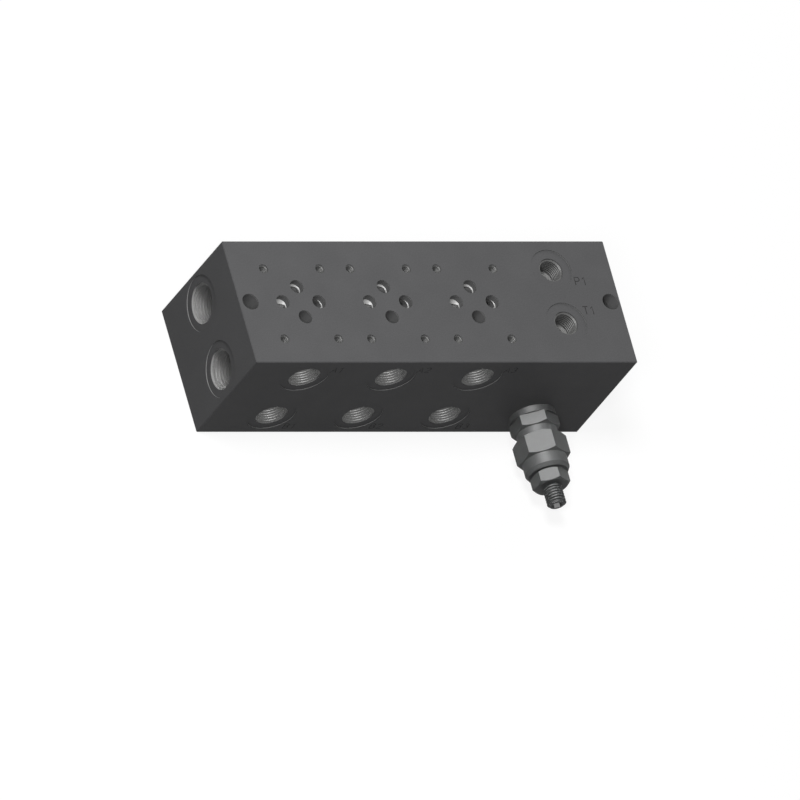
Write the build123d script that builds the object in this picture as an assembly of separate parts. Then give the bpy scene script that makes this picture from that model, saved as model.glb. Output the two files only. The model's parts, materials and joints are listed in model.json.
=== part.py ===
from build123d import *
import math
import os

# Hydraulic manifold block with three valve stations and a screw-in relief cartridge.
# Millimetres. The origin is the centre of the bottom face. +X runs along the block
# away from the pressure and tank ports, +Y from the actuator ports to the plain back,
# +Z out of the face that carries the valves.

os.makedirs("parts", exist_ok=True)

# ---- block ----
block_length = 220.0
block_width = 70.0
block_height = 70.0
edge_break = 0.4

# ---- mounting holes, through the block from the valve face to the bottom ----
mounting_hole_d = 9.0
mounting_hole_from_port_end = 6.5
mounting_hole_from_plain_end = 5.6

# ---- valve stations: size 03 directional valve interface, flow holes and screws ----
station_count = 3
station_pitch = 50.0
first_station_from_port_end = 35.7
p_and_t_offset = 10.4            # P and T holes, each side of the station along X
a_offset = 8.8                   # A hole, towards the front
b_offset = 8.7                   # B hole, towards the back
flow_hole_d = 7.5
flow_entry_depth = 4.0           # straight mouth of the B, P and T holes
slant_d = 6.5                    # slanted drilling below that mouth
front_screw_offset = 21.5
front_screw_spacing = 31.0
back_screw_offset = 19.0
back_screw_spacing = 32.5
valve_screw_d = 5.0
valve_screw_depth = 13.0

# ---- galleries along the block ----
gallery_d = 14.0
gallery_z = 36.4
t_gallery_y = -19.5
p_gallery_y = 18.5
gallery_overrun = 8.0            # past the relief station

# ---- ports: parallel pipe threads G1/2, G3/8 and G1/4 with spot faces ----
spot_depth = 0.6
end_port_d = 20.955
end_port_thread = 15.0
end_port_tap_d = 18.6
end_port_tap_depth = 18.0
end_port_spot_d = 29.0
actuator_port_d = 16.662
actuator_port_thread = 13.0
actuator_port_spot_d = 25.4
passage_d = 11.0                 # from an actuator port to its A or B hole
passage_overrun = 4.0
upper_port_z = 54.0              # row of A ports
lower_port_z = 16.0              # row of B ports and the relief cartridge
b_foot_y = -2.0                  # where the slanted B drilling meets its passage
gauge_port_d = 13.157
gauge_port_thread = 12.0
gauge_port_spot_d = 22.6
t_gauge_y = -12.0
p_gauge_y = 18.6
gauge_drop_d = 8.0

# ---- relief cavity in the front face ----
relief_from_last_station = 49.9
cavity_mouth_d = 21.0
cavity_mouth_depth = 2.0
cavity_thread_d = 20.0
cavity_thread_depth = 14.5
cavity_side_d = 18.0
cavity_side_depth = 28.0
cavity_nose_d = 16.0
cavity_nose_depth = 39.5
cavity_step = 1.0                # slope between two diameters
nose_passage_d = 8.0
nose_passage_overrun = 3.5       # past the pressure drilling

# ---- relief cartridge, measured outwards (+) or inwards (-) from the front face ----
flange_d = 24.5
flange_height = 3.3
body_hex_af = 22.0
body_hex_top = 9.9
body_thread_end = -13.5
body_undercut_d = 17.2
body_undercut_length = 2.2
body_skirt_d = 17.6
body_skirt_end = -18.0
cap_thread_d = 16.0
cap_thread_end = -1.0
spring_chamber_d = 12.0
cage_thread_d = 14.0
cage_thread_top = -12.0
cage_d = 15.7
cage_waist_d = 14.0
cage_waist_top = -19.0
cage_waist_end = -27.5
cage_nose = -38.0
cage_port_d = 4.5
cage_port_count = 4
cage_chamber_d = 10.4
guide_bore_d = 7.0
guide_bore_end = -19.0
seat_height = 4.5
seat_bore_d = 4.2
seat_chamfer = 0.3
nose_groove_top = -32.0
nose_groove_width = 4.2
nose_groove_d = 12.8
backup_thickness = 1.0
backup_rings = 2

poppet_waist_d = 4.8
poppet_head_d = 7.6
poppet_head_height = 2.6
poppet_tip_d = 3.2
poppet_tip_height = 1.4
poppet_top = -9.5
vent_d = 1.5                     # lets the spring chamber breathe to T
poppet_lift = 1.2

plate_d = 11.4
plate_height = 1.5
plate_boss_d = 6.2
plate_boss_height = 1.6
wire_d = 2.0
spring_mean_d = 9.0
spring_length = 20.0
active_turns = 4
closed_turns = 1                 # at each end
closed_gap = 0.15                # between a closed turn and the next
steps_per_turn = 16
wire_sides = 8

cap_collar_d = 21.0
cap_collar_height = 3.9
cap_hex_af = 24.0
cap_hex_height = 12.4
cap_nose_d = 23.0
cap_nose_height = 5.6
cap_tip_d = 20.6
cap_tip_height = 2.0
cap_step = 22.4                  # end of the spring chamber, where the screw's head stops
cap_undercut_d = 13.6
cap_undercut_length = 2.0
cap_seal_d = 17.2

screw_d = 10.0
screw_end = 51.4
screw_end_chamfer = 1.0
screw_head_height = 5.0
screw_groove_d = 9.2
screw_groove_width = 2.4
screw_socket_af = 5.0
screw_socket_depth = 6.0
nut_af = 17.0
nut_height = 7.2

hex_chamfer_angle = 30.0
hex_face_ratio = 0.95            # chamfer circle over the width across flats
seal_flat_ratio = 0.42           # flats of a squeezed seal, over its width
drill_point_angle = 118.0
chisel_ratio = 0.15              # flat left by a drill's chisel edge, over its diameter

# ---- clearances ----
thread_clearance = 0.05          # radial, between a screw thread and its hole
running_clearance = 0.03         # radial, where a piece slides or turns
seal_clearance = 0.02            # radial, seals against their grooves
seat_clearance = 0.06            # poppet cone off its seat

# ---- places worked out from the sizes above ----
left = -block_length / 2
right = block_length / 2
front = -block_width / 2
back = block_width / 2
top = block_height
station_x = [left + first_station_from_port_end + i * station_pitch for i in range(station_count)]
relief_x = station_x[-1] + relief_from_last_station
gallery_end_x = relief_x + gallery_overrun
entry_floor_z = top - flow_entry_depth
nose_passage_depth = p_gauge_y - front + nose_passage_overrun

X, Y, Z = (1, 0, 0), (0, 1, 0), (0, 0, 1)
DOWN, INWARD = (0, 0, -1), (0, 1, 0)


def turned(*outline):
    """A solid turned about Z from its outline of (radius, height) points."""
    face = make_face(Polyline(*[(r, 0, h) for r, h in outline], close=True))
    return revolve(face, Axis.Z)


def placed(shape, point, direction):
    """The shape with its Z along the direction and its origin at the point."""
    return Plane(origin=point, z_dir=direction) * shape


def point_height(diameter):
    """Height of the cone left by a drill of this diameter, down to its chisel edge."""
    return diameter / 2 * (1 - chisel_ratio) / math.tan(math.radians(drill_point_angle / 2))


def drill_end(diameter, depth):
    """Outline points of the cone at the end of a drilled hole."""
    bottom = depth + point_height(diameter)
    return [(diameter / 2, depth), (diameter / 2 * chisel_ratio, bottom), (0, bottom)]


def drilled(point, direction, diameter, depth):
    """A drilled hole: straight for its depth, then the drill's cone."""
    return placed(turned((0, 0), (diameter / 2, 0), *drill_end(diameter, depth)), point, direction)


def drilled_to(start, end, diameter):
    """A drilled hole whose straight part runs from one point to another."""
    way = Vector(*end) - Vector(*start)
    return drilled(start, way, diameter, way.length)


def port(point, direction, spot_d, thread_d, thread_depth, tap_d, tap_depth):
    """A threaded port: spot face, thread at its major diameter, and the tap drill's end."""
    spot, thread = spot_d / 2, thread_d / 2
    outline = [(0, 0), (spot, 0), (spot, spot_depth), (thread, spot_depth)]
    outline += [(thread, thread_depth), (tap_d / 2, thread_depth)] + drill_end(tap_d, tap_depth)
    return placed(turned(*outline), point, direction)


def valve_station(x):
    """Holes of one station: four flow holes and four M5 screw holes in the valve face."""
    t_x, p_x, a_y, b_y = x - p_and_t_offset, x + p_and_t_offset, -a_offset, b_offset
    holes = [drilled((x, a_y, top), DOWN, flow_hole_d, top - upper_port_z)]
    for hole_x, hole_y in ((x, b_y), (p_x, 0), (t_x, 0)):
        holes.append(drilled((hole_x, hole_y, top), DOWN, flow_hole_d, flow_entry_depth))
    holes.append(drilled_to((x, b_y, entry_floor_z), (x, b_foot_y, lower_port_z), slant_d))
    holes.append(drilled_to((p_x, 0, entry_floor_z), (p_x, p_gallery_y, gallery_z), slant_d))
    holes.append(drilled_to((t_x, 0, entry_floor_z), (t_x, t_gallery_y, gallery_z), slant_d))
    rows = ((-front_screw_offset, front_screw_spacing), (back_screw_offset, back_screw_spacing))
    for y, spacing in rows:
        for side in (-1, 1):
            holes.append(drilled((x + side * spacing / 2, y, top), DOWN, valve_screw_d, valve_screw_depth))
    return holes


def actuator_ports(x):
    """The two ports of one station in the front face, each with its passage."""
    holes = []
    for z, meets_y in ((upper_port_z, -a_offset), (lower_port_z, b_foot_y)):
        depth = meets_y - front + passage_overrun
        holes.append(port((x, front, z), INWARD, actuator_port_spot_d, actuator_port_d,
                          actuator_port_thread, passage_d, depth))
    return holes


def galleries():
    """The P and T galleries, each drilled from its end port past the relief station."""
    holes = []
    for y in (p_gallery_y, t_gallery_y):
        holes.append(port((left, y, gallery_z), X, end_port_spot_d, end_port_d,
                          end_port_thread, end_port_tap_d, end_port_tap_depth))
        holes.append(drilled((left, y, gallery_z), X, gallery_d, gallery_end_x - left))
    return holes


def relief_station():
    """Two gauge ports whose drillings cross the galleries, and the cartridge's cavity."""
    holes = []
    for y in (p_gauge_y, t_gauge_y):
        holes.append(port((relief_x, y, top), DOWN, gauge_port_spot_d, gauge_port_d,
                          gauge_port_thread, gauge_drop_d, top - lower_port_z))
    mouth, thread = cavity_mouth_d / 2, cavity_thread_d / 2
    side, nose = cavity_side_d / 2, cavity_nose_d / 2
    outline = [(0, 0), (mouth, 0), (mouth, cavity_mouth_depth)]
    outline += [(thread, cavity_mouth_depth + mouth - thread), (thread, cavity_thread_depth)]
    outline += [(side, cavity_thread_depth + cavity_step), (side, cavity_side_depth)]
    outline += [(nose, cavity_side_depth + cavity_step)] + drill_end(cavity_nose_d, cavity_nose_depth)
    holes.append(placed(turned(*outline), (relief_x, front, lower_port_z), INWARD))
    holes.append(drilled((relief_x, front, lower_port_z), INWARD, nose_passage_d, nose_passage_depth))
    return holes


def manifold_block():
    block = Pos(0, 0, top / 2) * Box(block_length, block_width, block_height)
    block = chamfer(block.edges(), edge_break)
    holes = galleries() + relief_station()
    for x in station_x:
        holes += valve_station(x) + actuator_ports(x)
    hole_r = mounting_hole_d / 2
    through = turned((0, 0), (hole_r, 0), (hole_r, block_height), (0, block_height))
    for x in (left + mounting_hole_from_port_end, right - mounting_hole_from_plain_end):
        holes.append(placed(through, (x, 0, 0), Z))
    return block - holes


# The cartridge's pieces are drawn along Z and laid on this plane: their Z points out of
# the front face, their X along the block and their Y up.
cartridge_plane = Plane(origin=(relief_x, front, lower_port_z), x_dir=X, z_dir=(0, -1, 0))


def hexagon(across_flats, bottom, height, chamfer_bottom, chamfer_top):
    """A hexagon with two flats facing along X, its corners turned off at the ends named."""
    prism = extrude(RegularPolygon(across_flats / 2, 6, major_radius=False, rotation=30), height)
    corner = across_flats * 0.6                          # just outside the hexagon's corners
    face = hex_face_ratio * across_flats / 2
    drop = (corner - face) * math.tan(math.radians(hex_chamfer_angle))
    outline = [(0, 0)]
    outline += [(face, 0), (corner, drop)] if chamfer_bottom else [(corner, 0)]
    outline += [(corner, height - drop), (face, height)] if chamfer_top else [(corner, height)]
    return Pos(0, 0, bottom) * (prism & turned(*outline, (0, height)))


def cross_holes(diameter, reach, height, count):
    """Radial holes through a wall, evenly spaced about Z."""
    hole = Rot(0, 90, 0) * Cylinder(diameter / 2, reach, align=(Align.CENTER, Align.CENTER, Align.MIN))
    return [Pos(0, 0, height) * Rot(0, 0, 360 / count * i) * hole for i in range(count)]


def o_ring(inner_r, outer_r, height):
    """A seal squeezed between two round walls: flat where it meets them, sloped between."""
    middle, half = (inner_r + outer_r) / 2, (outer_r - inner_r) / 2 - seal_clearance
    flat = half * seal_flat_ratio
    quarter = [(half, flat), (flat, half)]
    upper = quarter + [(-x, y) for x, y in reversed(quarter)]
    corners = upper + [(-x, -y) for x, y in upper]
    return Pos(0, 0, height) * turned(*[(middle + x, y) for x, y in corners])


def cartridge_body():
    """Screwed into the block: flange, hexagon, thread and the skirt that holds the cage."""
    thread, undercut = cavity_thread_d / 2 - thread_clearance, body_undercut_d / 2
    skirt, flange = body_skirt_d / 2, flange_d / 2
    outside = turned((0, body_skirt_end), (skirt, body_skirt_end), (skirt, body_thread_end),
                     (thread, body_thread_end), (thread, -body_undercut_length),
                     (undercut, -body_undercut_length), (undercut, 0), (flange, 0),
                     (flange, flange_height), (0, flange_height))
    outside += hexagon(body_hex_af, flange_height, body_hex_top - flange_height, False, True)
    cage_hole, chamber, cap_hole = cage_thread_d / 2, spring_chamber_d / 2, cap_thread_d / 2
    seal = cap_seal_d / 2
    seal_floor = body_hex_top - cap_undercut_length
    cap_floor = cap_thread_end - cap_undercut_length
    inside = turned((0, body_skirt_end), (cage_hole, body_skirt_end), (cage_hole, cage_thread_top),
                    (chamber, cage_thread_top), (chamber, cap_floor), (cap_hole, cap_floor),
                    (cap_hole, seal_floor), (seal, seal_floor), (seal, body_hex_top), (0, body_hex_top))
    return outside - inside


def cage():
    """Sleeve below the body: guide bore, side ports out to T and the nose that carries the seat."""
    thread, wide, waist = cage_thread_d / 2 - thread_clearance, cage_d / 2, cage_waist_d / 2
    groove = nose_groove_d / 2
    groove_end = nose_groove_top - nose_groove_width
    outside = turned((0, cage_nose), (wide, cage_nose), (wide, groove_end), (groove, groove_end),
                     (groove, nose_groove_top), (wide, nose_groove_top), (wide, cage_waist_end),
                     (waist, cage_waist_end), (waist, cage_waist_top), (wide, cage_waist_top),
                     (wide, body_skirt_end), (thread, body_skirt_end), (thread, cage_thread_top),
                     (0, cage_thread_top))
    guide, chamber = guide_bore_d / 2, cage_chamber_d / 2
    inside = turned((0, cage_nose), (chamber, cage_nose), (chamber, guide_bore_end),
                    (guide, guide_bore_end), (guide, cage_thread_top), (0, cage_thread_top))
    ports = cross_holes(cage_port_d, cage_d, (cage_waist_top + cage_waist_end) / 2, cage_port_count)
    return outside - inside - ports


def valve_seat():
    """Hardened ring pressed into the cage's nose; the poppet closes on its inner edge."""
    outer, bore = cage_chamber_d / 2, seat_bore_d / 2
    face = cage_nose + seat_height
    return turned((bore, cage_nose), (outer, cage_nose), (outer, face),
                  (bore + seat_chamfer, face), (bore, face - seat_chamfer))


def poppet():
    """Stem running in the cage's guide bore, waisted by the side ports, with a conical head.

    A drilling down the stem and across its waist vents the spring chamber."""
    stem, waist = guide_bore_d / 2 - running_clearance, poppet_waist_d / 2
    head, tip = poppet_head_d / 2, poppet_tip_d / 2
    seat_face = cage_nose + seat_height
    seat_edge = seat_bore_d / 2 + seat_chamfer
    cone_start = seat_face + (head - seat_edge) + seat_clearance
    cone_end = cone_start - (head - tip)
    shape = turned((0, cone_end - poppet_tip_height), (tip, cone_end - poppet_tip_height), (tip, cone_end),
                   (head, cone_start), (head, cone_start + poppet_head_height),
                   (waist, cone_start + poppet_head_height), (waist, guide_bore_end),
                   (stem, guide_bore_end + stem - waist), (stem, poppet_top), (0, poppet_top))
    vent_foot = (cage_waist_top + cage_waist_end) / 2
    across = Pos(0, 0, vent_foot) * Rot(0, 90, 0) * Cylinder(vent_d / 2, poppet_head_d)
    along = Pos(0, 0, vent_foot) * Cylinder(vent_d / 2, poppet_top - vent_foot,
                                            align=(Align.CENTER, Align.CENTER, Align.MIN))
    return shape - [across, along]


def spring_plate(face, outward):
    """Turned plate with a boss inside the spring's end coil, on its outward or inward side."""
    plate, boss, vent = plate_d / 2, plate_boss_d / 2, vent_d / 2
    shape = turned((vent, 0), (plate, 0), (plate, plate_height), (boss, plate_height),
                   (boss, plate_height + plate_boss_height), (vent, plate_height + plate_boss_height))
    return Pos(0, 0, face) * (shape if outward else Rot(180, 0, 0) * shape)


def relief_spring(bottom):
    """Wire wound in short straight steps, a closed turn at each end, both ends ground flat."""
    closed_rise = (wire_d + closed_gap) / steps_per_turn
    active_length = spring_length - 2 * closed_turns * (wire_d + closed_gap)
    active_rise = active_length / active_turns / steps_per_turn
    closed = [closed_rise] * closed_turns * steps_per_turn
    points, height = [], 0.0
    for step, rise in enumerate(closed + [active_rise] * active_turns * steps_per_turn + closed + [0]):
        points.append(Vector(spring_mean_d / 2, 0, height).rotate(Axis.Z, 360 / steps_per_turn * step))
        height += rise
    path = Polyline(*points)
    start = Plane(origin=path @ 0, z_dir=path % 0, x_dir=X)
    wire = start * RegularPolygon(wire_d / 2, wire_sides, rotation=180 / wire_sides)
    coil = sweep(wire, path=path, transition=Transition.RIGHT)
    ground = Cylinder(spring_mean_d, spring_length, align=(Align.CENTER, Align.CENTER, Align.MIN))
    return Pos(0, 0, bottom) * (coil & ground)


def adjuster_cap():
    """Screwed into the body: collar, hexagon and round nose, bored for spring and screw."""
    thread, undercut = cap_thread_d / 2 - thread_clearance, cap_undercut_d / 2
    collar, hex_bottom = cap_collar_d / 2, body_hex_top + cap_collar_height
    undercut_floor = body_hex_top - cap_undercut_length
    outside = turned((0, cap_thread_end), (thread, cap_thread_end), (thread, undercut_floor),
                     (undercut, undercut_floor), (undercut, body_hex_top), (collar, body_hex_top),
                     (collar, hex_bottom), (0, hex_bottom))
    outside += hexagon(cap_hex_af, hex_bottom, cap_hex_height, True, True)
    hex_top = hex_bottom + cap_hex_height
    nose_top = hex_top + cap_nose_height
    tip_top = nose_top + cap_tip_height
    nose, tip = cap_nose_d / 2, cap_tip_d / 2
    outside += turned((0, hex_top - cap_tip_height), (nose, hex_top - cap_tip_height), (nose, nose_top),
                      (tip, tip_top), (0, tip_top))
    chamber, hole = spring_chamber_d / 2, screw_d / 2
    inside = turned((0, cap_thread_end), (chamber, cap_thread_end), (chamber, cap_step),
                    (hole, cap_step), (hole, tip_top), (0, tip_top))
    return outside - inside


def adjusting_screw(face):
    """Set screw with a sealed head inside the cap and a hexagon socket in its outer end."""
    head, thread = spring_chamber_d / 2 - running_clearance, screw_d / 2 - thread_clearance
    groove = screw_groove_d / 2
    groove_floor = face + (screw_head_height - screw_groove_width) / 2
    screw = turned((0, face), (head, face), (head, groove_floor), (groove, groove_floor),
                   (groove, groove_floor + screw_groove_width),
                   (head, groove_floor + screw_groove_width),
                   (head, face + screw_head_height), (thread, face + screw_head_height),
                   (thread, screw_end - screw_end_chamfer), (thread - screw_end_chamfer, screw_end),
                   (0, screw_end))
    socket = RegularPolygon(screw_socket_af / 2, 6, major_radius=False, rotation=30)
    return screw - Pos(0, 0, screw_end - screw_socket_depth) * extrude(socket, screw_socket_depth)


def lock_nut(bottom):
    hole = Pos(0, 0, bottom) * Cylinder(screw_d / 2, nut_height, align=(Align.CENTER, Align.CENTER, Align.MIN))
    return hexagon(nut_af, bottom, nut_height, True, True) - hole


def backup_ring_pair():
    """Two flat rings, one each side of the nose O-ring."""
    inner, outer = nose_groove_d / 2 + seal_clearance, cavity_nose_d / 2 - seal_clearance
    ring = turned((inner, 0), (outer, 0), (outer, backup_thickness), (inner, backup_thickness))
    low = nose_groove_top - nose_groove_width + seal_clearance
    high = nose_groove_top - backup_thickness - seal_clearance
    return Compound(children=[Pos(0, 0, low) * ring, Pos(0, 0, high) * ring])


# stack of the spring and its plates, from the poppet's stem up to the screw's head
lower_plate_face = poppet_top
spring_bottom = lower_plate_face + plate_height
spring_top = spring_bottom + spring_length
upper_plate_face = spring_top + plate_height
cap_tip_face = body_hex_top + cap_collar_height + cap_hex_height + cap_nose_height + cap_tip_height
screw_groove_middle = upper_plate_face + screw_head_height / 2

cartridge = {
    "cartridge_body": cartridge_body(),
    "cartridge_cage": cage(),
    "valve_seat": valve_seat(),
    "relief_poppet": poppet(),
    "poppet_spring_plate": spring_plate(lower_plate_face, True),
    "relief_spring": relief_spring(spring_bottom),
    "adjuster_spring_plate": spring_plate(upper_plate_face, False),
    "adjuster_cap": adjuster_cap(),
    "adjusting_screw": adjusting_screw(upper_plate_face),
    "lock_nut": lock_nut(cap_tip_face),
    "flange_o_ring": o_ring(body_undercut_d / 2, cavity_mouth_d / 2, -body_undercut_length / 2),
    "nose_o_ring": o_ring(nose_groove_d / 2, cavity_nose_d / 2, nose_groove_top - nose_groove_width / 2),
    "nose_backup_rings": backup_ring_pair(),
    "cap_o_ring": o_ring(cap_undercut_d / 2, cap_seal_d / 2, body_hex_top - cap_undercut_length / 2),
    "screw_o_ring": o_ring(screw_groove_d / 2, spring_chamber_d / 2, screw_groove_middle),
}

nodes = {"manifold_block": manifold_block()}
for name, shape in cartridge.items():
    nodes[name] = cartridge_plane * shape

for name, shape in nodes.items():
    export_step(shape, f"parts/{name}.step")
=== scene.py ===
import json
import math

import bmesh
import bpy
from mathutils import Matrix, Vector


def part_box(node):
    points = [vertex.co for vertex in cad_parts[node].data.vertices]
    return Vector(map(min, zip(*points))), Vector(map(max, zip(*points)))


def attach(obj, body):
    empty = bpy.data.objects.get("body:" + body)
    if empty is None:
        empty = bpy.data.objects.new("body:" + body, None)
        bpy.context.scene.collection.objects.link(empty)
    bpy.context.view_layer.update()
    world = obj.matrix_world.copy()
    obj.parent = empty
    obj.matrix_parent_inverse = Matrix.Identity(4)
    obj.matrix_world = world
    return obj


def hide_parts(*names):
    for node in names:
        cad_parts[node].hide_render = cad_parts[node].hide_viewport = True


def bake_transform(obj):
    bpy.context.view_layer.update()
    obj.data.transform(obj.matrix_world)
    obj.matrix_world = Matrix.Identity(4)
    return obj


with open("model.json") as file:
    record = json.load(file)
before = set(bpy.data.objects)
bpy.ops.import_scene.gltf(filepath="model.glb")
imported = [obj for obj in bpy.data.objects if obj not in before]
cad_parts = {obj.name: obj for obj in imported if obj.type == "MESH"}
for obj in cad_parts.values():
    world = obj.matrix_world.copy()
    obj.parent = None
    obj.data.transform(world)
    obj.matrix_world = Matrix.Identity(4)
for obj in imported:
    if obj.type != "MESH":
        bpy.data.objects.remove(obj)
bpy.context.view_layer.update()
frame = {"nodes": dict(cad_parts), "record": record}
nodes = frame["nodes"]

# The view: a parallel view down on the valve face, with the pressure and tank end to the
# left and the actuator ports below, rolled so that the block's long edges lie level.
right = Vector((0.8660, -0.2500, 0.4330))
up = Vector((0.0, 0.8660, 0.5000))
toward = Vector((-0.5000, -0.4330, 0.7500))
view_width, rightwards, downwards, distance = 0.4, 0.01541, 0.01420, 1.5
camera_data = bpy.data.cameras.new("camera")
camera_data.type = "ORTHO"
camera_data.ortho_scale = view_width
camera_data.clip_end = 20
camera = bpy.data.objects.new("camera", camera_data)
bpy.context.collection.objects.link(camera)
stand = right * rightwards - up * downwards + toward * distance
turn = Matrix((right, up, toward)).transposed().to_4x4()
camera.matrix_world = Matrix.Translation(stand) @ turn
bpy.context.scene.camera = camera
bpy.context.scene.view_settings.view_transform = "Standard"


# The studio: one broad lamp high on the left, one lower at the front left that looks into
# the ports, a weak one behind, and a pale surround. A fourth lamp only adds a soft sheen.
def linear(colour):
    """An sRGB hex colour such as 5f5f5f as linear red, green, blue and alpha."""
    channels = [int(colour[i:i + 2], 16) / 255 for i in (0, 2, 4)]
    return [c / 12.92 if c <= 0.04045 else ((c + 0.055) / 1.055) ** 2.4 for c in channels] + [1.0]


def node(tree, kind, settings=None, **links):
    """Adds a shader node: settings are its properties, links its inputs by name or place."""
    made = tree.nodes.new(kind)
    for name, value in (settings or {}).items():
        setattr(made, name, value)
    for name, value in links.items():
        place = int(name[1:]) if name[0] == "i" and name[1:].isdigit() else name.replace("_", " ")
        socket = made.inputs[place]
        if isinstance(value, bpy.types.NodeSocket):
            tree.links.new(value, socket)
        else:
            socket.default_value = value
    return made


def lamp(name, place, aim, size, power):
    """A round lamp at one place, turned to another: its width in metres and power in watts."""
    data = bpy.data.lights.new(name, "AREA")
    data.shape = "DISK"
    data.size = size
    data.energy = power
    lamp_object = bpy.data.objects.new(name, data)
    lamp_object.location = place
    beam = Vector(aim) - Vector(place)
    lamp_object.rotation_euler = beam.to_track_quat("-Z", "Y").to_euler()
    bpy.context.collection.objects.link(lamp_object)
    return lamp_object


lamp("high_left", (-0.50, 0.08, 1.31), (0.02, -0.02, 0.03), size=0.4, power=13.0)
lamp("port_light", (-0.70, -0.63, 1.07), (0, 0, 0.03), size=0.3, power=6.8)
lamp("back_fill", (0.84, 0.98, 0.62), (0, 0, 0.03), size=0.7, power=5.5)
# the sheen falls only on what is linked below: the cartridge's outside and the port threads
sheen_lamp = lamp("sheen_lamp", (-0.50, 0.546, 1.166), (0.06, -0.06, 0.035), size=0.35, power=108.0)
sheen_lamp.visible_diffuse = False
sheen_lamp.data.use_shadow = False
with_sheen = bpy.data.collections.new("with_sheen")
sheen_lamp.light_linking.receiver_collection = with_sheen


def seen_directly(tree):
    """1 for what the camera, a reflection or clear glass shows, 0 for light on the object."""
    path = node(tree, "ShaderNodeLightPath")
    seen = node(tree, "ShaderNodeMath", {"operation": "MAXIMUM"},
                i0=path.outputs["Is Camera Ray"], i1=path.outputs["Is Glossy Ray"])
    return node(tree, "ShaderNodeMath", {"operation": "MAXIMUM"},
                i0=seen.outputs[0], i1=path.outputs["Is Transmission Ray"]).outputs[0]


world = bpy.data.worlds.new("surround")
bpy.context.scene.world = world
world.use_nodes = True
tree = world.node_tree
tree.nodes.clear()
fill_light, white = 0.08, 1.0
strength = node(tree, "ShaderNodeMapRange", i0=seen_directly(tree), i3=fill_light, i4=white)
light = node(tree, "ShaderNodeBackground", Color=linear("ffffff"), Strength=strength.outputs[0])
node(tree, "ShaderNodeOutputWorld", Surface=light.outputs[0])


# The floor: a matt sheet of paper just under the block. The camera sees it lit up to white,
# and it keeps the block's soft shadow.
floor_reach, floor_gap = 6.0, 0.0001


def clear_tree(name):
    """A new material's empty node tree."""
    material = bpy.data.materials.new(name)
    material.use_nodes = True
    material.node_tree.nodes.clear()
    return material, material.node_tree


def piece_from(bm, name):
    """Makes an object of a finished bmesh, with its place in its mesh."""
    mesh = bpy.data.meshes.new(name)
    bm.to_mesh(mesh)
    bm.free()
    made = bpy.data.objects.new(name, mesh)
    bpy.context.collection.objects.link(made)
    return made


bm = bmesh.new()
bmesh.ops.create_grid(bm, x_segments=1, y_segments=1, size=floor_reach)
bmesh.ops.translate(bm, verts=bm.verts, vec=(0, 0, -floor_gap))
floor = piece_from(bm, "floor")
paper, tree = clear_tree("matt_white_floor")
sheet = node(tree, "ShaderNodeBsdfDiffuse", Color=linear("6a6a6a"))
glow = node(tree, "ShaderNodeEmission", Color=linear("ffffff"), Strength=0.87)
lit = node(tree, "ShaderNodeAddShader", i0=sheet.outputs[0], i1=glow.outputs[0])
shown = node(tree, "ShaderNodeMixShader",
             i0=seen_directly(tree), i1=sheet.outputs[0], i2=lit.outputs[0])
node(tree, "ShaderNodeOutputMaterial", Surface=shown.outputs[0])
floor.data.materials.append(paper)


# The block: a bar of free-cutting steel, milled on all six sides, burnished (blacked in a
# hot salt bath) and oiled. Its threads and drillings are cut bright through that coat.
MM = 0.001                           # in Blender's metres
block_low, block_high = map(Vector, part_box("manifold_block"))


def place_pattern(tree, stretch):
    """Object coordinates in millimetres, stretched along the tool's path."""
    coordinates = node(tree, "ShaderNodeTexCoord")
    return node(tree, "ShaderNodeMapping", Vector=coordinates.outputs["Object"],
                Scale=[share / MM for share in stretch]).outputs[0]


def grey_between(tree, value, dark, pale):
    """A colour that runs from dark to pale as the value runs from 0 to 1."""
    ramp = node(tree, "ShaderNodeValToRGB", Fac=value)
    ramp.color_ramp.elements[0].color = linear(dark)
    ramp.color_ramp.elements[1].color = linear(pale)
    return ramp.outputs[0]


def cut_steel(tree, dark="8a8a8a", pale="a6a6a5", roughness=0.42, specular=0.5):
    """Fresh-cut steel in a thread or a drilling: grey and bright, with 0.3 mm tool marks."""
    marks = node(tree, "ShaderNodeTexNoise",
                 Vector=place_pattern(tree, (3, 3, 3)), Scale=1.0, Detail=2.0)
    bump = node(tree, "ShaderNodeBump", Strength=0.15, Distance=0.00003, Height=marks.outputs[0])
    return node(tree, "ShaderNodeBsdfPrincipled",
                Base_Color=grey_between(tree, marks.outputs[0], dark, pale), Metallic=0.15,
                Roughness=roughness, Specular_IOR_Level=specular, Normal=bump.outputs[0])


# the coat's crystals are too fine to see: they are drawn 0.6 mm wide, over clouds of 16 mm
burnished, tree = clear_tree("burnished_milled_steel")
crystal_share, cloud_share, lift = 0.7, 0.3, 0.155
crystals = node(tree, "ShaderNodeTexNoise",
                Vector=place_pattern(tree, (1, 1, 1)), Scale=1.6, Detail=6.0)
cloud = node(tree, "ShaderNodeTexNoise",
             Vector=place_pattern(tree, (1, 1, 1)), Scale=0.06, Detail=3.0)
mottle = node(tree, "ShaderNodeMath", {"operation": "MULTIPLY_ADD"},
              i0=crystals.outputs[0], i1=crystal_share, i2=lift)
mottle = node(tree, "ShaderNodeMath", {"operation": "MULTIPLY_ADD"},
              i0=cloud.outputs[0], i1=cloud_share, i2=mottle.outputs[0])
coat = grey_between(tree, mottle.outputs[0], "434344", "5f5f60")
# cutter marks 0.5 mm apart along the block, as a face mill leaves them
lines = node(tree, "ShaderNodeTexNoise",
             Vector=place_pattern(tree, (0.04, 2.0, 2.0)), Scale=1.0, Detail=2.0)
coat_bump = node(tree, "ShaderNodeBump", Strength=0.5, Distance=0.0001, Height=lines.outputs[0])
dull = node(tree, "ShaderNodeBsdfPrincipled", Base_Color=coat, Roughness=0.62,
            Specular_IOR_Level=0.06, Normal=coat_bump.outputs[0])
bright = cut_steel(tree)
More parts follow.
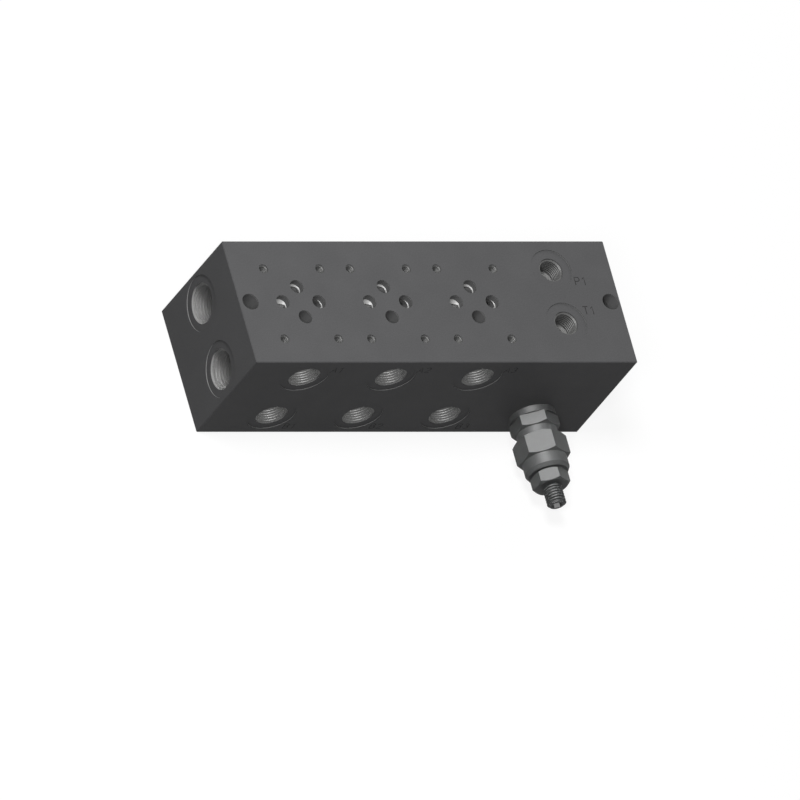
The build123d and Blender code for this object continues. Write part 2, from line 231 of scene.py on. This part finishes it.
# how deep a point lies below the nearest face of the block, in millimetres
low, high = block_low / MM, block_high / MM
spot = node(tree, "ShaderNodeSeparateXYZ", Vector=place_pattern(tree, (1, 1, 1)))
depth = None
for axis in range(3):
    offset = node(tree, "ShaderNodeMath", {"operation": "SUBTRACT"},
                  i0=spot.outputs[axis], i1=(low[axis] + high[axis]) / 2)
    away = node(tree, "ShaderNodeMath", {"operation": "ABSOLUTE"}, i0=offset.outputs[0])
    below = node(tree, "ShaderNodeMath", {"operation": "SUBTRACT"},
                 i0=(high[axis] - low[axis]) / 2, i1=away.outputs[0])
    if depth:
        below = node(tree, "ShaderNodeMath", {"operation": "MINIMUM"},
                     i0=depth.outputs[0], i1=below.outputs[0])
    depth = below
# bright on the wall of a spot face, which is 0.6 mm deep, and again below its floor, where
# walls that face sideways keep most of the dark coat as painted shade and walls that face
# up or down are bright
below_floor, well_below = 0.68, 0.74
upright_wall, level_wall, upright_share = 0.1, 0.4, 0.3
step = node(tree, "ShaderNodeValToRGB", Fac=depth.outputs[0])
for place, value in ((0.26, 0), (0.30, 1), (0.55, 1), (0.57, 0)):
    stop = step.color_ramp.elements.new(place)
    stop.color = (value, value, value, 1)
step.color_ramp.elements[0].color = step.color_ramp.elements[-1].color = (0, 0, 0, 1)
inside = node(tree, "ShaderNodeMapRange", i0=depth.outputs[0], i1=below_floor, i2=well_below)
# painted shade: how far a wall faces up or down sets how much bright steel it shows
facing = node(tree, "ShaderNodeTexCoord").outputs["Normal"]
tilt = node(tree, "ShaderNodeMath", {"operation": "ABSOLUTE"},
            i0=node(tree, "ShaderNodeSeparateXYZ", Vector=facing).outputs[2])
painted_shade_by_facing = node(tree, "ShaderNodeMapRange",
                  i0=tilt.outputs[0], i1=upright_wall, i2=level_wall, i3=upright_share)
bored_with_painted_shade = node(tree, "ShaderNodeMath", {"operation": "MULTIPLY"},
             i0=inside.outputs[0], i1=painted_shade_by_facing.outputs[0])
cut = node(tree, "ShaderNodeMath", {"operation": "MAXIMUM"},
           i0=step.outputs[0], i1=bored_with_painted_shade.outputs[0])
finish = node(tree, "ShaderNodeMixShader",
              i0=cut.outputs[0], i1=dull.outputs[0], i2=bright.outputs[0])
node(tree, "ShaderNodeOutputMaterial", Surface=finish.outputs[0])


def dress(names, material):
    """Gives CAD nodes their finished material in every slot."""
    for name in names:
        for material_slot in nodes[name].material_slots:
            material_slot.material = material


dress(["manifold_block"], burnished)


# The threads of the ports and of the valve screws: ridges left by a tap in each tapped
# hole, parallel pipe threads G1/2, G3/8 and G1/4, and M5. Their oiled walls look grey.
tapped, tree = clear_tree("tapped_steel")
tapping = cut_steel(tree, "7a7a7a", "929291", roughness=0.6, specular=0.12)
node(tree, "ShaderNodeOutputMaterial", Surface=tapping.outputs[0])
# the two big threads at the end are a darker copy of the tapped steel, as painted shade
shaded_big_tapped, tree = clear_tree("tapped_steel_of_the_end_ports_in_painted_shade")
tapping = cut_steel(tree, "626262", "757574", roughness=0.6, specular=0.12)
node(tree, "ShaderNodeOutputMaterial", Surface=tapping.outputs[0])
# the threads that open upwards are a darker copy again, as painted shade
shaded_upright_tapped, tree = clear_tree("tapped_steel_of_upright_holes_in_painted_shade")
node(tree, "ShaderNodeOutputMaterial", Surface=cut_steel(tree, "4a4a4a", "5e5e5d").outputs[0])
# shares of the pitch: a ridge's half widths at root and crest, and how early it begins
root_half, crest_half, early = 0.44, 0.10, 0.5


def face_off(bm, place, outward, nearest):
    """Cuts off what lies outward of a plane and closes the cut; nearest is its tolerance."""
    faced = bmesh.ops.bisect_plane(bm, geom=[*bm.verts, *bm.edges, *bm.faces], dist=nearest,
                                   plane_co=place, plane_no=outward, clear_outer=True)
    rim = [cut for cut in faced["geom_cut"] if isinstance(cut, bmesh.types.BMEdge)]
    bmesh.ops.contextual_create(bm, geom=rim)
    bmesh.ops.recalc_face_normals(bm, faces=bm.faces)


def ridges(mouth, outward, root, crest, pitch, start, length, steps):
    """A right-hand thread: its root and crest radii, pitch, start below the mouth and length.
    It begins early and is faced off at its start, so it fades in as a cut thread does."""
    bm = bmesh.new()
    mouth, outward = Vector(mouth), Vector(outward)
    across = outward.orthogonal().normalized()
    profile = [(root, -root_half), (crest, -crest_half), (crest, crest_half), (root, root_half)]
    above = start - early * pitch
    corners = [bm.verts.new(mouth + across * radius * MM - outward * (above + place * pitch) * MM)
               for radius, place in profile]
    face = bm.faces.new(corners)
    count = round((length / pitch + early) * steps)
    bmesh.ops.spin(bm, geom=[face, *face.edges, *face.verts], cent=mouth, axis=outward,
                   dvec=-outward * pitch * MM / steps, angle=-math.tau * count / steps, steps=count)
    face_off(bm, mouth - outward * start * MM, outward, 1e-7)
    mesh = bpy.data.meshes.new("ridges")
    bm.to_mesh(mesh)
    bm.free()
    return mesh


def tapped_holes(name, holes, material, **thread):
    """One piece of the ridges in like holes, each given by its mouth and its way out."""
    bm = bmesh.new()
    for mouth, outward in holes:
        cut = ridges(mouth, outward, **thread)
        bm.from_mesh(cut)
        bpy.data.meshes.remove(cut)
    made = piece_from(bm, name)
    made.data.materials.append(material)
    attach(made, "block")
    return made


mounts = {mount["name"]: mount for mount in frame["record"]["mounts"]}


def mouth_of(mount):
    """Where a tapped hole's axis meets the outside of the block."""
    place, out = Vector(mount["pos_m"]), mount["axis"]
    for axis in range(3):
        if out[axis]:
            place[axis] = block_high[axis] if out[axis] > 0 else block_low[axis]
    return place


spot_face, into_wall, first_ridge, port_steps = 0.6, 0.05, 0.6, 28
front_ports = ["port_a1", "port_a2", "port_a3", "port_b1", "port_b2", "port_b3"]
for names, material, crest, pitch, length in (
        (["port_p", "port_t"], shaded_big_tapped, 9.32, 1.814, 14.0),
        (front_ports, tapped, 7.475, 1.337, 12.0),
        (["gauge_port_p", "gauge_port_t"], shaded_upright_tapped, 5.72, 1.337, 11.0)):
    for name in names:
        mount = mounts[name]
        thread = tapped_holes(
            "thread_" + name, [(mouth_of(mount), mount["axis"])], material,
            root=mount["dims"]["r_mm"] + into_wall, crest=crest, pitch=pitch,
            start=spot_face + first_ridge * pitch, length=length - 2 * first_ridge * pitch,
            steps=port_steps)
        if material != shaded_upright_tapped:
            with_sheen.objects.link(thread)
for station in (1, 2, 3):
    holes = []
    for row in ("front", "back"):
        mount = mounts[f"station_{station}_{row}_screws"]
        for side in (-0.5, 0.5):
            place = mouth_of(mount) + Vector((side * mount["dims"]["spacing_x_mm"] * MM, 0, 0))
            holes.append((place, mount["axis"]))
    tapped_holes(f"thread_station_{station}_screws", holes, shaded_upright_tapped,
                 root=2.53, crest=2.07, pitch=0.8, start=0.9, length=11.5, steps=14)


# The port marks: a letter and a number cut beside each port by an engraving machine, in
# single strokes 0.5 mm wide. Here the strokes stand 0.02 mm proud and are painted dark grey,
# as painted shade for the cut grooves.
engraved, tree = clear_tree("engraved_strokes_in_painted_shade")
grain = node(tree, "ShaderNodeTexNoise",
             Vector=place_pattern(tree, (1, 1, 1)), Scale=4.0, Detail=3.0)
stroke = node(tree, "ShaderNodeBsdfPrincipled", Roughness=0.8, Specular_IOR_Level=0.1,
              Base_Color=grey_between(tree, grain.outputs[0], "2c2c2c", "3c3c3c"))
node(tree, "ShaderNodeOutputMaterial", Surface=stroke.outputs[0])
bow_steps = 10


def bow(x, y, width, height, start, end):
    """Points on part of an oval, from one angle in degrees to another."""
    angles = [math.radians(start + (end - start) * step / bow_steps)
              for step in range(bow_steps + 1)]
    return [(x + width * math.cos(angle), y + height * math.sin(angle)) for angle in angles]


# the cutter's paths, in units of the mark's height
paths = {
    "A": [[(0, 0), (0.32, 1), (0.64, 0)], [(0.11, 0.35), (0.53, 0.35)]],
    "B": [[(0, 0), (0, 1), *bow(0.3, 0.76, 0.24, 0.24, 90, -90), (0, 0.52)],
          [*bow(0.3, 0.26, 0.29, 0.26, 90, -90), (0, 0)]],
    "P": [[(0, 0), (0, 1), *bow(0.3, 0.74, 0.29, 0.26, 90, -90), (0, 0.48)]],
    "T": [[(0, 1), (0.64, 1)], [(0.32, 1), (0.32, 0)]],
    "1": [[(0.06, 0.76), (0.32, 1), (0.32, 0)]],
    "2": [[*bow(0.29, 0.71, 0.29, 0.29, 165, -35), (0, 0), (0.6, 0)]],
    "3": [bow(0.27, 0.76, 0.25, 0.24, 150, -90), bow(0.27, 0.26, 0.3, 0.26, 90, -150)]}
stroke_width, stroke_rise = 0.5, 0.02
mark_height, character_width, next_character = 4.5, 0.6, 0.9


def mark(words, place, along, upward):
    """A mark on a face: its middle in millimetres, the way it reads and the way up."""
    curve = bpy.data.curves.new("mark_" + words, "CURVE")
    curve.dimensions = "3D"
    curve.bevel_depth = stroke_width / 2 * MM
    curve.bevel_resolution = 2
    curve.use_fill_caps = True
    for number, character in enumerate(words):
        for path in paths[character]:
            spline = curve.splines.new("POLY")
            spline.points.add(len(path) - 1)
            for point, (x, y) in zip(spline.points, path):
                shift = number * next_character - (next_character + character_width) / 2
                point.co = ((x + shift) * mark_height * MM, (y - 0.5) * mark_height * MM, 0, 1)
    drawn = bpy.data.objects.new("drawn", curve)
    bpy.context.collection.objects.link(drawn)
    mesh = bpy.data.meshes.new_from_object(drawn)
    bpy.data.objects.remove(drawn)
    mesh.name = "mark_" + words
    mesh.transform(Matrix.Diagonal((1, 1, stroke_rise / (stroke_width / 2), 1)))
    along, upward = Vector(along), Vector(upward)
    turned = Matrix((along, upward, along.cross(upward))).transposed().to_4x4()
    mesh.transform(Matrix.Translation(Vector(place) * MM) @ turned)
    mesh.materials.clear()
    mesh.materials.append(engraved)
    made = bpy.data.objects.new("mark_" + words, mesh)
    bpy.context.collection.objects.link(made)
    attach(made, "block")


gauge_mark_x, beside_port, upper_row, lower_row = 90.6, 15.2, 62.0, 6.2
for words, y in (("P1", 11.8), ("T1", -5.1)):
    mark(words, (gauge_mark_x, y, block_high.z / MM), (1, 0, 0), (0, 1, 0))
for station in (1, 2, 3):
    for letter, row in (("A", upper_row), ("B", lower_row)):
        port = mounts[f"port_{letter.lower()}{station}"]
        mark(f"{letter}{station}", (port["pos_m"][0] / MM + beside_port, block_low.y / MM, row),
             (1, 0, 0), (0, 0, 1))


# The cartridge's body, cage, cap and lock nut, turned from bar and zinc phosphated.
# The oiled crystal coat is dark grey, with a broad soft sheen over the fine rings of the lathe.
# Its crystals are too fine to see: they are drawn 0.5 mm wide, over clouds of 4 mm.
phosphated, tree = clear_tree("zinc_phosphated_turned_steel")
fine = node(tree, "ShaderNodeTexNoise",
            Vector=place_pattern(tree, (1, 1, 1)), Scale=2.2, Detail=5.0)
wide = node(tree, "ShaderNodeTexNoise",
            Vector=place_pattern(tree, (1, 1, 1)), Scale=0.25, Detail=2.0)
half = node(tree, "ShaderNodeMath", {"operation": "MULTIPLY"}, i0=fine.outputs[0], i1=0.5)
cloud = node(tree, "ShaderNodeMath", {"operation": "MULTIPLY_ADD"},
             i0=wide.outputs[0], i1=0.5, i2=half.outputs[0])
rings = node(tree, "ShaderNodeTexNoise",
             Vector=place_pattern(tree, (0.05, 4.0, 0.05)), Scale=1.0, Detail=2.0)
ring_bump = node(tree, "ShaderNodeBump", Strength=0.4, Distance=0.00003, Height=rings.outputs[0])
zinc = node(tree, "ShaderNodeBsdfPrincipled", Roughness=0.6, Specular_IOR_Level=0.2,
            Base_Color=grey_between(tree, cloud.outputs[0], "393a3a", "484949"),
            Normal=ring_bump.outputs[0])
node(tree, "ShaderNodeOutputMaterial", Surface=zinc.outputs[0])
dress(["cartridge_body", "adjuster_cap", "lock_nut", "cartridge_cage"], phosphated)
for name in ("cartridge_body", "adjuster_cap", "lock_nut"):
    with_sheen.objects.link(nodes[name])


# The adjusting screw: M10 x 1.5, turned and rolled, phosphated as the rest, with a 5 mm hexagon
# socket for the key. Its plain head inside the cap holds the seal that keeps the oil in.
screw_low, screw_high = [corner / MM for corner in map(Vector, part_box("adjusting_screw"))]
axis_x, axis_z = (screw_low.x + screw_high.x) / 2, (screw_low.z + screw_high.z) / 2
outer_end, inner_end = screw_low.y, screw_high.y
head_r, head_length, groove_r, groove_length = (screw_high.x - screw_low.x) / 2, 5.0, 4.6, 2.4
core_r, core_chamfer, edge_break = 4.06, 0.2, 0.3
thread_r, into_core, thread_pitch, thread_start, thread_run_out = 4.93, 0.1, 1.5, 0.6, 2.5
socket_across, socket_depth = 5.0, 6.0
turned_sides, thread_steps = 36, 28
groove_top = inner_end - (head_length - groove_length) / 2
groove_end = groove_top - groove_length
head_end = inner_end - head_length
outline = [(0, inner_end), (head_r - edge_break, inner_end), (head_r, inner_end - edge_break),
           (head_r, groove_top), (groove_r, groove_top), (groove_r, groove_end),
           (head_r, groove_end), (head_r, head_end), (core_r, head_end),
           (core_r, outer_end + core_chamfer), (core_r - core_chamfer, outer_end)]
bm = bmesh.new()
points = [bm.verts.new((axis_x + radius, y, axis_z)) for radius, y in outline]
edges = [bm.edges.new(pair) for pair in zip(points, points[1:])]
bmesh.ops.spin(bm, geom=points + edges, cent=(axis_x, 0, axis_z), axis=(0, 1, 0),
               angle=math.tau, steps=turned_sides, use_merge=True)
bmesh.ops.remove_doubles(bm, verts=bm.verts, dist=0.001)
rim = [edge for edge in bm.edges if edge.is_boundary]
corner_r = socket_across / 2 / math.cos(math.pi / 6)
socket = bmesh.ops.create_circle(bm, segments=6, radius=corner_r)["verts"]
bmesh.ops.rotate(bm, verts=socket, cent=(0, 0, 0), matrix=Matrix.Rotation(math.pi / 2, 3, "X"))
bmesh.ops.translate(bm, verts=socket, vec=(axis_x, outer_end, axis_z))
hexagon = list({edge for vert in socket for edge in vert.link_edges})
bmesh.ops.triangle_fill(bm, edges=rim + hexagon, use_beauty=True)
wall = bmesh.ops.extrude_edge_only(bm, edges=hexagon)["geom"]
deepest = [item for item in wall if isinstance(item, bmesh.types.BMVert)]
bmesh.ops.translate(bm, verts=deepest, vec=(0, socket_depth, 0))
bmesh.ops.edgeloop_fill(bm, edges=[edge for edge in bm.edges if edge.is_boundary])
bmesh.ops.scale(bm, verts=bm.verts, vec=(MM, MM, MM))
bmesh.ops.recalc_face_normals(bm, faces=bm.faces)
bm.from_mesh(ridges(
    (axis_x * MM, outer_end * MM, axis_z * MM), (0, -1, 0), root=core_r - into_core,
    crest=thread_r, pitch=thread_pitch, start=thread_start,
    length=head_end - outer_end - thread_run_out, steps=thread_steps))
screw = piece_from(bm, "adjusting_screw_threaded")
screw.data.materials.append(phosphated)
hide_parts("adjusting_screw")
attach(screw, "screw")
with_sheen.objects.link(screw)


# The working parts inside: poppet, seat and plates, hardened and ground. They are the
# brightest steel, with grinding marks 0.12 mm apart.
ground, tree = clear_tree("hardened_ground_steel")
stones = node(tree, "ShaderNodeTexNoise",
              Vector=place_pattern(tree, (0.3, 8.0, 0.3)), Scale=1.0, Detail=3.0)
stone_bump = node(tree, "ShaderNodeBump", Strength=0.08, Distance=0.00001, Height=stones.outputs[0])
hard = node(tree, "ShaderNodeBsdfPrincipled", Metallic=1.0, Roughness=0.24,
            Base_Color=grey_between(tree, stones.outputs[0], "a9a9aa", "bcbcbd"),
            Normal=stone_bump.outputs[0])
node(tree, "ShaderNodeOutputMaterial", Surface=hard.outputs[0])
dress(["valve_seat", "relief_poppet", "poppet_spring_plate", "adjuster_spring_plate"], ground)


# The relief spring: coiled from oil-tempered wire that keeps a brown-grey skin. It shortens as
# its ends are pushed together, so it is drawn as two lengths of the same coil: one at the
# poppet's end and the other at the adjuster's, and they meet where the coil is still.
tempered, tree = clear_tree("oil_tempered_wire")
skin = node(tree, "ShaderNodeTexNoise",
            Vector=place_pattern(tree, (1, 1, 1)), Scale=1.2, Detail=5.0)
skin_bump = node(tree, "ShaderNodeBump", Strength=0.15, Distance=0.00002, Height=skin.outputs[0])
wire = node(tree, "ShaderNodeBsdfPrincipled", Metallic=0.8, Roughness=0.5,
            Base_Color=grey_between(tree, skin.outputs[0], "4c4844", "66625d"),
            Normal=skin_bump.outputs[0])
node(tree, "ShaderNodeOutputMaterial", Surface=wire.outputs[0])
still_share = 0.3
nearer, further = map(Vector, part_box("relief_spring"))
still = further.y - still_share * (further.y - nearer.y)
for name, end, body in (("relief_spring_poppet_end", further.y, "poppet"),
                        ("relief_spring_adjuster_end", nearer.y, "plate")):
    away = 1 if end < still else -1
    bm = bmesh.new()
    bm.from_mesh(nodes["relief_spring"].data)
    bmesh.ops.remove_doubles(bm, verts=bm.verts, dist=1e-6)
    face_off(bm, (0, still, 0), (0, away, 0), 1e-8)
    coil = piece_from(bm, name)
    coil.data.materials.append(tempered)
    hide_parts("relief_spring")
    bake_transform(coil)


# The seals: moulded nitrile rubber rings, black with a faint moulding bloom, and two cream
# PTFE rings cut from a turned tube, one each side of the nose seal.
rubber, tree = clear_tree("moulded_nitrile_rubber")
bloom = node(tree, "ShaderNodeTexNoise",
             Vector=place_pattern(tree, (1, 1, 1)), Scale=1.5, Detail=4.0)
rubber_bump = node(tree, "ShaderNodeBump", Strength=0.1, Distance=0.00002, Height=bloom.outputs[0])
nitrile = node(tree, "ShaderNodeBsdfPrincipled", Roughness=0.6,
               Base_Color=grey_between(tree, bloom.outputs[0], "1a1a1a", "262626"),
               Normal=rubber_bump.outputs[0])
node(tree, "ShaderNodeOutputMaterial", Surface=nitrile.outputs[0])
dress(["flange_o_ring", "nose_o_ring", "cap_o_ring", "screw_o_ring"], rubber)
fluoropolymer, tree = clear_tree("turned_ptfe")
turning = node(tree, "ShaderNodeTexNoise",
               Vector=place_pattern(tree, (0.1, 6.0, 0.1)), Scale=1.0, Detail=2.0)
turning_bump = node(tree, "ShaderNodeBump",
                    Strength=0.1, Distance=0.00002, Height=turning.outputs[0])
waxy = node(tree, "ShaderNodeBsdfPrincipled", Roughness=0.45,
            Base_Color=grey_between(tree, turning.outputs[0], "e2e0d8", "edebe4"),
            Normal=turning_bump.outputs[0])
node(tree, "ShaderNodeOutputMaterial", Surface=waxy.outputs[0])
dress(["nose_backup_rings"], fluoropolymer)
